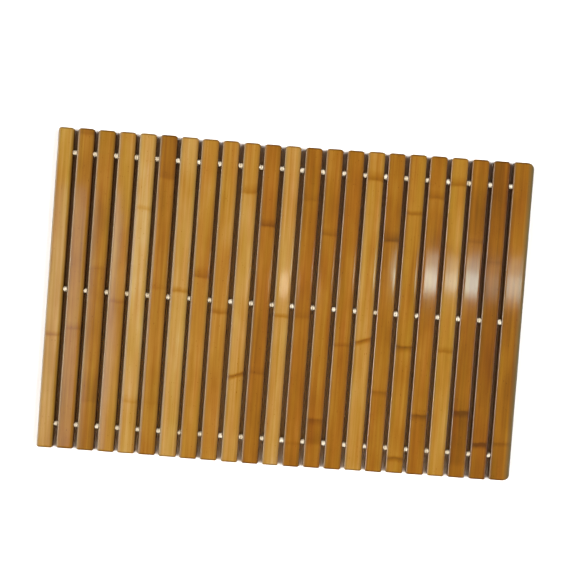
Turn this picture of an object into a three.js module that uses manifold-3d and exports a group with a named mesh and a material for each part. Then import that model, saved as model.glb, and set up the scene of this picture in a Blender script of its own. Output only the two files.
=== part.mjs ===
// Roll-up bamboo mat: bamboo slats side by side, threaded on three knotted cotton cords.
// Sizes are in millimetres. X runs across the slats, Y along them and Z up. The origin is at the
// middle of the mat, on the surface that it lies on.

import * as THREE from 'three';
import { mergeVertices } from 'three/addons/utils/BufferGeometryUtils.js';
import Module from 'manifold-3d';

const wasm = await Module();
wasm.setup();

// Slats
const SLAT_LENGTH = 400;
const SLAT_THICKNESS = 8;
const EDGE_ROUNDING = 1.6;
const CORNER_RADIUS = 2.5;
const BROAD_CORNER_RADIUS = 8;

// One row for each slat, from the left: its width, the open gap to the next slat, how far it sits
// towards the back (+) or the front (-), and the shade of its bamboo.
const SLATS = [
  { width: 19.5, gapAfter: 5.0, shift: 0.5, shade: 'pale' },
  { width: 20.5, gapAfter: 4.5, shift: 1.0, shade: 'honey' },
  { width: 21.5, gapAfter: 4.5, shift: 0.5, shade: 'amber' },
  { width: 21.0, gapAfter: 4.5, shift: 0.5, shade: 'honey' },
  { width: 21.0, gapAfter: 4.5, shift: 0.5, shade: 'pale' },
  { width: 21.5, gapAfter: 4.5, shift: 0.5, shade: 'amber' },
  { width: 22.0, gapAfter: 4.0, shift: 0.0, shade: 'pale' },
  { width: 21.5, gapAfter: 4.5, shift: -0.5, shade: 'amber' },
  { width: 21.0, gapAfter: 5.5, shift: -0.5, shade: 'honey' },
  { width: 20.5, gapAfter: 5.0, shift: -1.0, shade: 'honey' },
  { width: 21.0, gapAfter: 5.0, shift: -1.0, shade: 'caramel' },
  { width: 20.0, gapAfter: 5.5, shift: -1.0, shade: 'pale' },
  { width: 21.0, gapAfter: 5.0, shift: -1.0, shade: 'caramel' },
  { width: 21.0, gapAfter: 5.0, shift: -0.5, shade: 'amber' },
  { width: 21.5, gapAfter: 4.5, shift: -0.5, shade: 'amber' },
  { width: 21.5, gapAfter: 4.5, shift: 0.0, shade: 'pale' },
  { width: 21.0, gapAfter: 5.0, shift: 0.0, shade: 'amber' },
  { width: 21.5, gapAfter: 4.5, shift: 0.5, shade: 'honey' },
  { width: 21.5, gapAfter: 5.0, shift: 0.5, shade: 'amber' },
  { width: 21.0, gapAfter: 5.0, shift: 0.5, shade: 'pale' },
  { width: 21.5, gapAfter: 5.0, shift: 0.5, shade: 'amber' },
  { width: 21.0, gapAfter: 5.0, shift: 0.5, shade: 'caramel' },
  { width: 25.0, gapAfter: 0.0, shift: 1.0, shade: 'amber' },
];

const SHADES = { pale: '#c8a55f', honey: '#b9873c', amber: '#a56923', caramel: '#875014' };
const LACQUER_ROUGHNESS = 0.3;

// Cords
const CORD_ROWS = [
  { name: 'cord_front', y: -168.5 },
  { name: 'cord_middle', y: 0 },
  { name: 'cord_back', y: 170 },
];
const CORD_HEIGHT = SLAT_THICKNESS / 2;
const CORD_RADIUS = 1.1;
const CORD_SIDES = 8;
const BORE_RADIUS = 1.5;
const BLIND_BORE_DEPTH = 12;
const CORD_END_CLEARANCE = 0.4;
const COTTON_COLOUR = '#efe4cc';
const COTTON_ROUGHNESS = 0.95;

// Knots. The section has one row for each ring of points, from one side of the gap to the other:
// its place as a share of half the knot's length, and its radius.
const KNOT_RADIUS = 3.4;
const KNOT_SHOULDER_RADIUS = 2.8;
const KNOT_CLEARANCE = 0.3;
const KNOT_SECTION = [
  { along: -1.0, radius: CORD_RADIUS },
  { along: -0.9, radius: KNOT_SHOULDER_RADIUS },
  { along: -0.35, radius: KNOT_RADIUS },
  { along: 0.35, radius: KNOT_RADIUS },
  { along: 0.9, radius: KNOT_SHOULDER_RADIUS },
  { along: 1.0, radius: CORD_RADIUS },
];

// The two strands that cross over a knot stand out as a pair of slanting ridges, turned
// differently on each knot.
const RIDGE_HEIGHT_SHARE = 0.08;
const RIDGES = 2;
const RIDGE_SLANT_PER_MM = 0.6;
const RIDGE_TURN_PER_KNOT = 2.4;

const matWidth = SLATS.reduce((sum, slat) => sum + slat.width + slat.gapAfter, 0);

// The centre of each slat and of each gap along X.
function layOut() {
  const slatCentres = [];
  const gaps = [];
  let left = -matWidth / 2;
  for (const slat of SLATS) {
    slatCentres.push(left + slat.width / 2);
    left += slat.width;
    if (slat.gapAfter > 0) {
      gaps.push({ centre: left + slat.gapAfter / 2, width: slat.gapAfter });
      left += slat.gapAfter;
    }
  }
  return { slatCentres, gaps };
}

function toSolid(geometry) {
  geometry.deleteAttribute('normal');
  geometry.deleteAttribute('uv');
  const merged = mergeVertices(geometry);
  return new wasm.Manifold(new wasm.Mesh({
    numProp: 3,
    vertProperties: new Float32Array(merged.attributes.position.array),
    triVerts: new Uint32Array(merged.index.array),
  }));
}

function toGeometry(solid) {
  const mesh = solid.getMesh();
  const geometry = new THREE.BufferGeometry();
  geometry.setAttribute('position', new THREE.BufferAttribute(mesh.vertProperties, 3));
  geometry.setIndex(new THREE.BufferAttribute(mesh.triVerts, 1));
  geometry.computeVertexNormals();
  return geometry;
}

// A slat seen from above, about its own centre.
function slatOutline(width, leftRadius, rightRadius) {
  const side = width / 2;
  const end = SLAT_LENGTH / 2;
  const quarter = Math.PI / 2;
  const outline = new THREE.Shape();
  outline.absarc(side - rightRadius, rightRadius - end, rightRadius, -quarter, 0);
  outline.absarc(side - rightRadius, end - rightRadius, rightRadius, 0, quarter);
  outline.absarc(leftRadius - side, end - leftRadius, leftRadius, quarter, 2 * quarter);
  outline.absarc(leftRadius - side, leftRadius - end, leftRadius, 2 * quarter, 3 * quarter);
  return outline;
}

function slatBlank(width, rightRadius, cornerSteps) {
  const geometry = new THREE.ExtrudeGeometry(slatOutline(width, CORNER_RADIUS, rightRadius), {
    depth: SLAT_THICKNESS - 2 * EDGE_ROUNDING,
    curveSegments: cornerSteps,
    bevelThickness: EDGE_ROUNDING,
    bevelSize: EDGE_ROUNDING,
    bevelOffset: -EDGE_ROUNDING,
    bevelSegments: 2,
  });
  geometry.translate(0, 0, EDGE_ROUNDING);
  return toSolid(geometry);
}

// A hole for a cord, running along X.
function bore(fromX, toX, y) {
  const geometry = new THREE.CylinderGeometry(BORE_RADIUS, BORE_RADIUS, toX - fromX, CORD_SIDES);
  geometry.rotateZ(-Math.PI / 2);
  geometry.translate((fromX + toX) / 2, y, CORD_HEIGHT);
  return toSolid(geometry);
}

// The cords run right through every slat but the two at the ends, where the holes are blind.
function slatGeometry(index) {
  const { width, shift } = SLATS[index];
  const isFirst = index === 0;
  const isLast = index === SLATS.length - 1;
  const rightRadius = isLast ? BROAD_CORNER_RADIUS : CORNER_RADIUS;
  const cornerSteps = isLast ? 3 : 1;
  const past = 1;
  const boreStart = isFirst ? width / 2 - BLIND_BORE_DEPTH : -width / 2 - past;
  const boreEnd = isLast ? BLIND_BORE_DEPTH - width / 2 : width / 2 + past;
  let solid = slatBlank(width, rightRadius, cornerSteps);
  for (const row of CORD_ROWS) {
    solid = solid.subtract(bore(boreStart, boreEnd, row.y - shift));
  }
  return toGeometry(solid);
}

// The cord's outline, from end to end, as radius against place along X.
function cordProfile(startX, endX, gaps) {
  const profile = [new THREE.Vector2(0, startX), new THREE.Vector2(CORD_RADIUS, startX)];
  for (const gap of gaps) {
    const halfLength = gap.width / 2 - KNOT_CLEARANCE;
    for (const ring of KNOT_SECTION) {
      profile.push(new THREE.Vector2(ring.radius, gap.centre + ring.along * halfLength));
    }
  }
  profile.push(new THREE.Vector2(CORD_RADIUS, endX), new THREE.Vector2(0, endX));
  return profile;
}

function raiseRidges(geometry, gaps) {
  const position = geometry.attributes.position;
  for (let i = 0; i < position.count; i += 1) {
    const x = position.getX(i);
    const y = position.getY(i);
    const z = position.getZ(i);
    const knot = gaps.findIndex((gap) => Math.abs(x - gap.centre) < gap.width / 2);
    if (knot >= 0 && Math.hypot(y, z) > KNOT_SHOULDER_RADIUS * 0.99) {
      const slant = (x - gaps[knot].centre) * RIDGE_SLANT_PER_MM;
      const angle = Math.atan2(z, y) + slant + knot * RIDGE_TURN_PER_KNOT;
      const swell = 1 + RIDGE_HEIGHT_SHARE * Math.cos(RIDGES * angle);
      position.setXYZ(i, x, y * swell, z * swell);
    }
  }
}

function cordGeometry(gaps) {
  const reach = BLIND_BORE_DEPTH - CORD_END_CLEARANCE;
  const startX = gaps[0].centre - gaps[0].width / 2 - reach;
  const lastGap = gaps[gaps.length - 1];
  const endX = lastGap.centre + lastGap.width / 2 + reach;
  const geometry = new THREE.LatheGeometry(cordProfile(startX, endX, gaps), CORD_SIDES);
  geometry.rotateZ(-Math.PI / 2);
  raiseRidges(geometry, gaps);
  geometry.computeVertexNormals();
  return geometry;
}

function bambooMaterial(shade) {
  return new THREE.MeshStandardMaterial({
    color: SHADES[shade],
    roughness: LACQUER_ROUGHNESS,
    metalness: 0,
  });
}

function cottonMaterial() {
  return new THREE.MeshStandardMaterial({
    color: COTTON_COLOUR,
    roughness: COTTON_ROUGHNESS,
    metalness: 0,
  });
}

const mat = new THREE.Group();
const { slatCentres, gaps } = layOut();

SLATS.forEach((slat, index) => {
  const mesh = new THREE.Mesh(slatGeometry(index), bambooMaterial(slat.shade));
  mesh.name = `slat_${String(index + 1).padStart(2, '0')}`;
  mesh.position.set(slatCentres[index], slat.shift, 0);
  mat.add(mesh);
});

for (const row of CORD_ROWS) {
  const mesh = new THREE.Mesh(cordGeometry(gaps), cottonMaterial());
  mesh.name = row.name;
  mesh.position.set(0, row.y, CORD_HEIGHT);
  mat.add(mesh);
}

export default mat;
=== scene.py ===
"""A bamboo bath mat: lacquered slats threaded on three knotted cotton cords, seen from above."""

import math
from collections import namedtuple

import bpy
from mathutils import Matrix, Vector


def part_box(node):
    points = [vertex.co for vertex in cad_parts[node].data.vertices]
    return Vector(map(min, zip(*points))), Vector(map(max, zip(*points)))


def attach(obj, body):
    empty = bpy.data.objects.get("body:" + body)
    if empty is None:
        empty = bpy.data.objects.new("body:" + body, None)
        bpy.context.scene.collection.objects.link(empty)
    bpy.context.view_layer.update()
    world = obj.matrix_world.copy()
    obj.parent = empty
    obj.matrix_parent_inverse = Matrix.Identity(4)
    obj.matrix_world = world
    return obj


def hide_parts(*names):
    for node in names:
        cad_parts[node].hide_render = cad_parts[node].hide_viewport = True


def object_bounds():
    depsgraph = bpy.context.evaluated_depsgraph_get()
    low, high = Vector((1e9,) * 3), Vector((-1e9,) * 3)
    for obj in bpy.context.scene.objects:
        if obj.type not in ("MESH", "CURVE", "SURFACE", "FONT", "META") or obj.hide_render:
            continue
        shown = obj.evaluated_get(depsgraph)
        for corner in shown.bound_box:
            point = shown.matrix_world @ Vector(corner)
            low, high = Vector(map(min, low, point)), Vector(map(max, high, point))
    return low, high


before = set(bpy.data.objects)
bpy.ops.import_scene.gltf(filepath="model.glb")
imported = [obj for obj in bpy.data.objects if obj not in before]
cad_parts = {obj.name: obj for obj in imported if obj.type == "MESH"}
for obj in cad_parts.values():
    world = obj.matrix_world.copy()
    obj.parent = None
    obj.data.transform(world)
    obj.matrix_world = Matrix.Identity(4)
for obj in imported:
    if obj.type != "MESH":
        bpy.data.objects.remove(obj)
cad_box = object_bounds()

MM = 0.001

# The photograph's frame. The camera is almost straight above, a little towards the back and turned
# so that the mat lies as in the photograph. MM_PER_PX holds at the top of the slats.
IMAGE_SIDE_PX = 576
MM_PER_PX = 1.2474
SENSOR_WIDTH_MM = 36.0
CAMERA_PLACE = Vector((-10.0, 42.8, 1000.0)) * MM
CAMERA_TURNS = tuple(math.radians(turn) for turn in (-1.226, -0.579, 4.381))

# The slats' form: plan corners, larger at the back by a share of their radius, edges eased over a
# quarter ellipse, and a slightly crowned top. The top also rolls off to the left, from a place given
# as a share of half the slat's width, and the sides and the top wander along the slat.
PLAN_CORNER = 2.4 * MM
BROAD_PLAN_CORNER = 8.0 * MM
BACK_CORNER_GROWTH = 0.7
EDGE_WIDTH = 2.0 * MM
EDGE_HEIGHT = 1.5 * MM
SHARP_EDGE = math.radians(45)
CROWN = 0.05 * MM
LEFT_ROLL = 0.26 * MM
LEFT_ROLL_START = -0.45
UNEVENNESS = 0.16 * MM
WANDERS_PER_METRE = 9.0
BORE_RADIUS = 1.5 * MM
BORE_END_CLEARANCE = 0.4 * MM
BORE_SIDES = 20

# The cords' form. Each knot's depth, front to back, and its height are shares between two of what
# its windings give.
CORD_RADIUS = 1.1 * MM
KNOT_RADIUS = 3.7 * MM
KNOT_CLEARANCE = 0.1 * MM
KNOT_SLACK = 0.2 * MM
KNOT_SQUEEZE = 1.45
KNOT_WRAPS = 2.3
KNOT_DEPTH_SHARES = (0.84, 1.06)
KNOT_HEIGHT_SHARES = (0.90, 1.00)
PLY_PITCH = 6.5 * MM
PLIES = 3
PLY_SWELL = 0.12
CORD_NAMES = ("cord_front", "cord_middle", "cord_back")

# Knots are grubbier towards the left of the mat: where that starts, where it is full, and by how much.
GRUBBY_FROM = 0.1
GRUBBY_TO = -0.2
GRUBBIEST = 0.35

# A joint of the bamboo, in mm along the slat: its place from the front end, how dark it is, how far
# its soft shade reaches towards the back (or the front, below zero), how much lighter the slat is
# behind it, and how much further back it is at the slat's right side than at its left.
Joint = namedtuple("Joint", "place dark reach step tilt", defaults=(8, 0.0, 0.0))
NO_JOINT = Joint(-900, 0.0)
MOST_JOINTS = 3

# What all joints share: how far the dark line reaches from its middle, how far it wanders, how dark it
# is where the joint's own darkness is 1, how fast the shade beside it sets in, and how fast the slat
# grows lighter behind it.
JOINT_LINE_MM = 4.4
JOINT_WANDER_MM = 5.0
JOINT_LINE_DARK = 0.17
JOINT_SHADE_PER_MM = 0.4
JOINT_STEP_PER_MM = 0.12

# One row for each slat, from the left. tone runs from dark caramel at 0 to pale straw at 1, warmth
# from olive at -1 to orange at 1, gloss is how much the lacquer on its top shines, edge_gloss how
# much it shines on its left edge, and lean is how far its top leans to the right, in degrees.
SlatLook = namedtuple("SlatLook", "tone warmth gloss edge_gloss lean joints")
SLAT_LOOKS = (
    SlatLook(0.63, -0.8, 0.6, 0.05, 0.0, (Joint(142, 0.35, 6),)),
    SlatLook(0.41, -0.4, 0.75, 0.05, 0.0, (Joint(151, 0.20, 9, 0.03), Joint(394, 0.18, 12, -0.08))),
    SlatLook(0.38, -0.6, 0.5, 0.05, 0.0, (Joint(62, 0.08, 40, -0.06), Joint(228, 0.15, 9, 0.13))),
    SlatLook(0.54, -0.3, 1.0, 0.05, -1.6, (Joint(188, 0.22, 7, 0.03),)),
    SlatLook(0.75, -0.2, 0.8, 0.05, 0.0, (Joint(65, 0.20, 10, 0.06), Joint(307, 0.20, 5, 0.02))),
    SlatLook(0.44, -0.2, 0.9, 0.05, 0.0,
             (Joint(65, 0.08, 14, 0.03), Joint(210, 0.12, 18), Joint(347, 0.12, 10, -0.12))),
    SlatLook(0.76, -0.3, 1.0, 0.08, 0.0, (Joint(209, 0.36, 6, -0.02),)),
    SlatLook(0.56, 0.0, 0.6, 0.12, 0.0, (Joint(229, 0.32, 14, -0.02),)),
    SlatLook(0.59, 0.1, 0.6, 0.15, 0.0, (Joint(186, 0.34, 7),)),
    SlatLook(0.67, 0.0, 0.6, 0.2, 0.0, (Joint(110, 0.58, -5, 0.02, 6), Joint(339, 0.28, 12, -0.06))),
    SlatLook(0.38, 0.2, 0.6, 0.22, -1.0, (Joint(114, 0.18, 9, 0.02), Joint(299, 0.32, 10, -0.05))),
    SlatLook(0.71, 0.0, 1.0, 0.2, 0.0, (Joint(187, 0.34, 5, 0.03),)),
    SlatLook(0.36, 0.2, 0.6, 0.3, 1.0,
             (Joint(29, 0.12, 4), Joint(189, 0.14, 10), Joint(336, 0.12, 16, -0.02))),
    SlatLook(0.41, 0.2, 0.6, 0.3, 0.0,
             (Joint(31, 0.10, 16, -0.14), Joint(61, 0.26, -9, 0.14), Joint(293, 0.24, 9))),
    SlatLook(0.38, 0.1, 0.6, 0.5, 0.0, (Joint(156, 0.22, 5, 0.02),)),
    SlatLook(0.66, -0.1, 0.6, 0.4, 0.0, (Joint(164, 0.56, -6, 0.0, 6), Joint(365, 0.36, 12, -0.03))),
    SlatLook(0.44, -0.1, 0.8, 1.0, 0.3, (Joint(101, 0.26, -7), Joint(291, 0.36, 14, -0.02))),
    SlatLook(0.44, -0.4, 0.5, 0.7, -2.2,
             (Joint(19, 0.42, -6, 0.04), Joint(159, 0.44, -8, -0.02), Joint(326, 0.36, 5, 0.02))),
    SlatLook(0.38, 0.1, 1.0, 0.7, 0.0, (Joint(74, 0.40, -8, 0.02), Joint(348, 0.28, 10))),
    SlatLook(0.60, -0.4, 0.6, 0.8, 0.0, (Joint(157, 0.30, 8), Joint(366, 0.32, 12, -0.02))),
    SlatLook(0.28, 0.0, 1.0, 0.8, 0.0,
             (Joint(17, 0.04, 12, -0.10), Joint(83, 0.42, -8, 0.10), Joint(297, 0.16, 5))),
    SlatLook(0.26, 0.0, 0.2, 0.7, 0.0, (Joint(44, 0.55, -7, -0.02), Joint(273, 0.12, -8, -0.06))),
    SlatLook(0.33, -0.2, 0.6, 0.7, 0.0, (Joint(47, 0.20, -5),)),
)

# Lacquered bamboo from its darkest to its palest.
BAMBOO_RAMP = (
    (0.00, "#673c02"),
    (0.20, "#865206"),
    (0.40, "#9e6711"),
    (0.60, "#b07d28"),
    (0.80, "#c0944a"),
    (1.00, "#ceae75"),
)

# How strongly a left edge whose lacquer does not shine takes its painted grey-brown sheen, and how
# strongly the mat's outer right edge goes to dull olive, between two places in mm from the mat's middle.
LEFT_EDGE_SHEEN_SHARE = 0.75
RIGHT_EDGE_OLIVE_SHARE = 0.85
RIGHT_EDGE_OLIVE_FROM_MM = 289.0
RIGHT_EDGE_OLIVE_TO_MM = 296.4

# The kinds of node that come up most.
MATH = "ShaderNodeMath"
VECTOR_MATH = "ShaderNodeVectorMath"
JOIN_XYZ = "ShaderNodeCombineXYZ"
SPLIT_XYZ = "ShaderNodeSeparateXYZ"
MAP_RANGE = "ShaderNodeMapRange"
MIX = "ShaderNodeMix"
NOISE = "ShaderNodeTexNoise"
COORDINATES = "ShaderNodeTexCoord"
POSITION = "GeometryNodeInputPosition"
SET_POSITION = "GeometryNodeSetPosition"
STORE = "GeometryNodeStoreNamedAttribute"
LINE = "GeometryNodeCurvePrimitiveLine"
RESAMPLE = "GeometryNodeResampleCurve"
RANDOM = "FunctionNodeRandomValue"


def linear(hex_colour):
    """A colour for a shader from its sRGB hex value."""
    shares = [int(hex_colour[i:i + 2], 16) / 255 for i in (1, 3, 5)]
    return (*(s / 12.92 if s <= 0.04045 else ((s + 0.055) / 1.055) ** 2.4 for s in shares), 1.0)


def add(tree, kind, links=(), **settings):
    """A new node. settings are its properties. links gives its sockets, in order or by name, what they
    take: a value, another node's socket, or another node, whose first output they then take."""
    node = tree.nodes.new(kind)
    for name, value in settings.items():
        setattr(node, name, value)
    for socket, value in links.items() if isinstance(links, dict) else enumerate(links):
        if isinstance(value, bpy.types.Node):
            value = value.outputs[0]
        if isinstance(value, bpy.types.NodeSocket):
            tree.links.new(value, node.inputs[socket])
        else:
            node.inputs[socket].default_value = value
    return node


def new_tree(name, inputs):
    """A geometry tree with named inputs, and the sockets that bring them in."""
    tree = bpy.data.node_groups.new(name, "GeometryNodeTree")
    tree.interface.new_socket("Geometry", in_out="OUTPUT", socket_type="NodeSocketGeometry")
    tree.interface.new_socket("Geometry", in_out="INPUT", socket_type="NodeSocketGeometry")
    for label, kind in inputs.items():
        tree.interface.new_socket(label, in_out="INPUT", socket_type="NodeSocket" + kind)
    return tree, add(tree, "NodeGroupInput").outputs


def finish_tree(tree, geometry, material):
    """Realizes what a tree has made, gives it its material and sends it out."""
    real = add(tree, "GeometryNodeRealizeInstances", (geometry,))
    dressed = add(tree, "GeometryNodeSetMaterial", {0: real, "Material": material})
    add(tree, "NodeGroupOutput", (dressed,))


def grow(name, points, tree, inputs, point_values=None):
    """A plain mesh piece that a geometry tree grows from a few points."""
    mesh = bpy.data.meshes.new(name)
    mesh.from_pydata(points, [], [])
    for label, values in (point_values or {}).items():
        mesh.attributes.new(label, "FLOAT", "POINT").data.foreach_set("value", values)
    seed = bpy.data.objects.new(name, mesh)
    bpy.context.scene.collection.objects.link(seed)
    modifier = seed.modifiers.new(tree.name, "NODES")
    modifier.node_group = tree
    sockets = {item.name: item.identifier for item in tree.interface.items_tree if item.in_out == "INPUT"}
    for label, value in inputs.items():
        modifier[sockets[label]] = value
    depsgraph = bpy.context.evaluated_depsgraph_get()
    grown = bpy.data.meshes.new_from_object(seed.evaluated_get(depsgraph))
    bpy.data.objects.remove(seed)
    piece = bpy.data.objects.new(name, grown)
    bpy.context.scene.collection.objects.link(piece)
    return piece


# Slats

def slat_tree(material):
    """One slat: the points of a cube's grid, drawn out to the slat's size, rounded at the plan corners
    and eased at the edges, with the cords' holes cut through it where the points are."""
    tree, given = new_tree("bamboo slat", {
        "Centre": "Vector",
        "Width": "Float",
        "Length": "Float",
        "Thickness": "Float",
        "Left Corner": "Float",
        "Right Corner": "Float",
        "Back Growth": "Float",
        "Edge Width": "Float",
        "Edge Height": "Float",
        "Crown": "Float",
        "Left Roll": "Float",
        "Left Roll Start": "Float",
        "Top Lean": "Float",
        "Unevenness": "Float",
        "Bore Radius": "Float",
        "Bore Length": "Float",
        "Tone": "Float",
        "Warmth": "Float",
        "Gloss": "Float",
        "Edge Gloss": "Float",
        "Joint Places": "Vector",
        "Joint Tilts": "Vector",
        "Joint Darks": "Vector",
        "Joint Reaches": "Vector",
        "Joint Steps": "Vector",
    })
    quarter_turn = math.pi / 2
    points_across = 15
    points_along = 71
    points_up = 9
    cube = add(tree, "GeometryNodeMeshCube", {
        "Size": (2, 2, 2),
        "Vertices X": points_across,
        "Vertices Y": points_along,
        "Vertices Z": points_up,
    })

    # Rows of points close up towards the edges.
    size = add(tree, JOIN_XYZ, (given["Width"], given["Length"], given["Thickness"]))
    half = add(tree, VECTOR_MATH, {0: size, "Scale": 0.5}, operation="SCALE")
    half_x, half_y, half_z = add(tree, SPLIT_XYZ, (half,)).outputs
    angles = add(tree, VECTOR_MATH, (add(tree, POSITION), (quarter_turn,) * 3), operation="MULTIPLY")
    spread = add(tree, VECTOR_MATH, (angles,), operation="SINE")
    blank = add(tree, VECTOR_MATH, (spread, half), operation="MULTIPLY")
    blank_x, blank_y, blank_z = add(tree, SPLIT_XYZ, (blank,)).outputs
    side = add(tree, VECTOR_MATH, (blank,), operation="SIGN")
    reach = add(tree, VECTOR_MATH, (blank,), operation="ABSOLUTE")
    reach_z = add(tree, MATH, (blank_z,), operation="ABSOLUTE")

    # Plan corners: square rings of points about each corner's centre become round ones.
    is_right = add(tree, MATH, (blank_x, 0.0), operation="GREATER_THAN")
    is_back = add(tree, MATH, (blank_y, 0.0), operation="GREATER_THAN")
    front_corner = add(tree, MIX, {
        "Factor": is_right, "A": given["Left Corner"], "B": given["Right Corner"],
    }, data_type="FLOAT")
    growth = add(tree, MATH, (is_back, given["Back Growth"], 1.0), operation="MULTIPLY_ADD")
    corner = add(tree, MATH, (front_corner, growth), operation="MULTIPLY")
    corner_size = add(tree, JOIN_XYZ, (corner, corner, 0.0))
    core = add(tree, VECTOR_MATH, (half, corner_size), operation="SUBTRACT")
    outside = add(tree, VECTOR_MATH, (reach, core), operation="SUBTRACT")
    past_core = add(tree, VECTOR_MATH, (outside, (0, 0, 0)), operation="MAXIMUM")
    past_x, past_y, _ = add(tree, SPLIT_XYZ, (past_core,)).outputs
    ring = add(tree, MATH, (past_x, past_y), operation="MAXIMUM")
    past_plan = add(tree, JOIN_XYZ, (past_x, past_y, 0.0))
    outward = add(tree, VECTOR_MATH, (past_plan,), operation="NORMALIZE")

    # Edges: how far a point is into the eased strip, inwards and upwards, as shares of its size. A
    # point on the strip's square section is drawn in and down to a quarter ellipse.
    strip_start = add(tree, MATH, (corner, given["Edge Width"]), operation="SUBTRACT")
    into_strip = add(tree, MATH, (ring, strip_start), operation="SUBTRACT")
    inward = add(tree, MATH, (into_strip, given["Edge Width"]), operation="DIVIDE", use_clamp=True)
    wall_end = add(tree, MATH, (half_z, given["Edge Height"]), operation="SUBTRACT")
    above_wall = add(tree, MATH, (reach_z, wall_end), operation="SUBTRACT")
    upward = add(tree, MATH, (above_wall, given["Edge Height"]), operation="DIVIDE", use_clamp=True)
    inward_squared = add(tree, MATH, (inward, inward), operation="MULTIPLY")
    both_squared = add(tree, MATH, (upward, upward, inward_squared), operation="MULTIPLY_ADD")
    diagonal = add(tree, MATH, (both_squared,), operation="SQRT")
    least_diagonal = 0.0001
    some_diagonal = add(tree, MATH, (diagonal, least_diagonal), operation="MAXIMUM")
    further = add(tree, MATH, (inward, upward), operation="MAXIMUM")
    pull = add(tree, MATH, (further, some_diagonal), operation="DIVIDE")
    nearer = add(tree, MATH, (inward, upward), operation="MINIMUM")
    in_strip = add(tree, MATH, (nearer, 0.0), operation="GREATER_THAN")
    slack = add(tree, MATH, (1.0, pull), operation="SUBTRACT")
    give = add(tree, MATH, (slack, in_strip), operation="MULTIPLY")
    inward_give = add(tree, MATH, (inward, give), operation="MULTIPLY")
    drawn_in = add(tree, MATH, (inward_give, given["Edge Width"]), operation="MULTIPLY")
    upward_give = add(tree, MATH, (upward, give), operation="MULTIPLY")
    drawn_down = add(tree, MATH, (upward_give, given["Edge Height"]), operation="MULTIPLY")
    ring_radius = add(tree, MATH, (ring, drawn_in), operation="SUBTRACT")
    around = add(tree, VECTOR_MATH, {0: outward, "Scale": ring_radius}, operation="SCALE")
    inside = add(tree, VECTOR_MATH, (reach, core), operation="MINIMUM")
    plan = add(tree, VECTOR_MATH, (inside, around), operation="ADD")
    plan_x, plan_y, _ = add(tree, SPLIT_XYZ, (plan,)).outputs
    height = add(tree, MATH, (reach_z, drawn_down), operation="SUBTRACT")
    eased_eighth = add(tree, JOIN_XYZ, (plan_x, plan_y, height))
    eased = add(tree, VECTOR_MATH, (eased_eighth, side), operation="MULTIPLY")

    # The top is crowned, rolls off towards its left edge and may lean a little. The whole slat wanders
    # sideways along its length, and its top rises and sinks by a share of that.
    eased_x, eased_y, eased_z = add(tree, SPLIT_XYZ, (eased,)).outputs
    across = add(tree, MATH, (eased_x, half_x), operation="DIVIDE")
    across_squared = add(tree, MATH, (across, across), operation="MULTIPLY")
    rise = add(tree, MATH, (eased_z, half_z), operation="DIVIDE")
    top_share = add(tree, MATH, (rise, 0.5, 0.5), operation="MULTIPLY_ADD")
    lean = add(tree, MATH, (eased_x, given["Top Lean"]), operation="MULTIPLY")
    side_lean = add(tree, MATH, (half_x, given["Top Lean"]), operation="MULTIPLY")
    most_lean = add(tree, MATH, (side_lean,), operation="ABSOLUTE")
    crowned = add(tree, MATH, (across_squared, given["Crown"], lean), operation="MULTIPLY_ADD")
    roll_place = add(tree, MAP_RANGE, {
        "Value": across, "From Min": given["Left Roll Start"], "From Max": -1.0,
    })
    roll_squared = add(tree, MATH, (roll_place, roll_place), operation="MULTIPLY")
    rolled = add(tree, MATH, (roll_squared, given["Left Roll"], crowned), operation="MULTIPLY_ADD")
    sink = add(tree, MATH, (rolled, most_lean), operation="ADD")
    top_sink = add(tree, MATH, (sink, top_share), operation="MULTIPLY")
    along = add(tree, JOIN_XYZ, (0.0, eased_y, 0.0))
    wander_place = add(tree, VECTOR_MATH, (given["Centre"], along), operation="ADD")
    wander = add(tree, NOISE, {
        "Vector": wander_place, "Scale": WANDERS_PER_METRE, "Detail": 2.0,
    }).outputs["Color"]
    sway = add(tree, VECTOR_MATH, (wander, (2, 2, 2), (-1, -1, -1)), operation="MULTIPLY_ADD")
    sway_x, _, sway_z = add(tree, SPLIT_XYZ, (sway,)).outputs
    moved_x = add(tree, MATH, (sway_x, given["Unevenness"]), operation="MULTIPLY")
    moved_z = add(tree, MATH, (sway_z, given["Unevenness"]), operation="MULTIPLY")
    rise_share = 0.5
    top_moves = add(tree, MATH, (top_share, rise_share), operation="MULTIPLY")
    swayed_z = add(tree, MATH, (moved_z, top_moves), operation="MULTIPLY")
    lift = add(tree, MATH, (swayed_z, top_sink), operation="SUBTRACT")
    moves = add(tree, JOIN_XYZ, (moved_x, 0.0, lift))
    shaped = add(tree, VECTOR_MATH, (eased, moves), operation="ADD")
    placed = add(tree, VECTOR_MATH, (shaped, given["Centre"]), operation="ADD")
    body = add(tree, SET_POSITION, {"Geometry": cube, "Position": placed})

    # Holes for the cords.
    drill = add(tree, "GeometryNodeMeshCylinder", {
        "Vertices": BORE_SIDES, "Radius": given["Bore Radius"], "Depth": given["Bore Length"],
    })
    drills = add(tree, "GeometryNodeInstanceOnPoints", {
        "Points": given["Geometry"], "Instance": drill, "Rotation": (0, quarter_turn, 0),
    })
    real_drills = add(tree, "GeometryNodeRealizeInstances", (drills,))
    bored = add(tree, "GeometryNodeMeshBoolean", {"Mesh 1": body, "Mesh 2": real_drills},
                operation="DIFFERENCE", solver="MANIFOLD")
    smooth = add(tree, "GeometryNodeSetShadeSmooth", {"Geometry": bored, "Shade Smooth": True})
    edge_angle = add(tree, "GeometryNodeInputMeshEdgeAngle").outputs["Unsigned Angle"]
    is_sharp = add(tree, MATH, (edge_angle, SHARP_EDGE), operation="GREATER_THAN")
    marked = add(tree, "GeometryNodeSetShadeSmooth", {
        "Geometry": smooth, "Selection": is_sharp, "Shade Smooth": False,
    }, domain="EDGE")

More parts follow.
